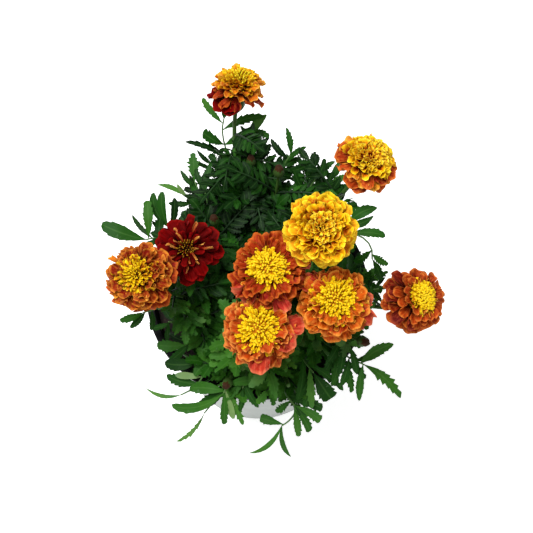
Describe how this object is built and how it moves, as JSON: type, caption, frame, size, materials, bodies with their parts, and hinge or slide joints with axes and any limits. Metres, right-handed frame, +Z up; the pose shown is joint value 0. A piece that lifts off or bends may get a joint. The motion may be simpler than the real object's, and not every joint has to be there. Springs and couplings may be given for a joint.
{
  "type": "potted marigold",
  "caption": "Flowering French marigold in a tapered pot, with layered ruffled blooms, quilled yellow centres and feathery leaves.",
  "frame": {"origin": "centre of the cover pot's flat underside", "axes": "+Z up along the pot's axis; -Y is the side that the picture is taken from, and +X is right in it"},
  "size_m": [0.2131, 0.2346, 0.2818],
  "materials": {
    "cover_pot": "satin light grey",
    "grow_pot": "satin black",
    "soil": "rough, dark, damp",
    "foliage": "soft leaf sheen",
    "orange_petals": "velvety",
    "yellow_petals": "velvety",
    "dark_red_petals": "velvety",
    "yellow_florets": "matte",
    "bud_tips": "matte"
  },
  "bodies": {
    "root": {"cover_pot": "cover_pot", "grow_pot": "grow_pot", "soil": "soil", "stem_a": "foliage", "stem_b": "foliage", "stem_c": "foliage", "stem_d": "foliage", "stem_e": "foliage", "stem_f": "foliage", "stem_g": "foliage", "stem_h": "foliage", "stem_i": "foliage", "stem_j": "foliage", "stem_k": "foliage", "stem_l": "foliage", "stem_m": "foliage", "stem_n": "foliage", "stem_o": "foliage", "stem_p": "foliage", "petals_a": "orange_petals", "crest_a": "yellow_florets", "petals_b": "orange_petals", "crest_b": "yellow_florets", "petals_c": "yellow_petals", "petals_d": "dark_red_petals", "crest_d": "yellow_florets", "petals_e": "orange_petals", "crest_e": "yellow_florets", "petals_f": "orange_petals", "crest_f": "yellow_florets", "petals_g": "orange_petals", "crest_g": "yellow_florets", "petals_h": "orange_petals", "crest_h": "yellow_florets", "petals_i": "orange_petals", "crest_i": "yellow_florets", "bud_j": "bud_tips", "bud_k": "bud_tips", "bud_l": "bud_tips", "bud_m": "bud_tips", "bud_n": "bud_tips", "bud_p": "bud_tips"}
  },
  "joints": []
}
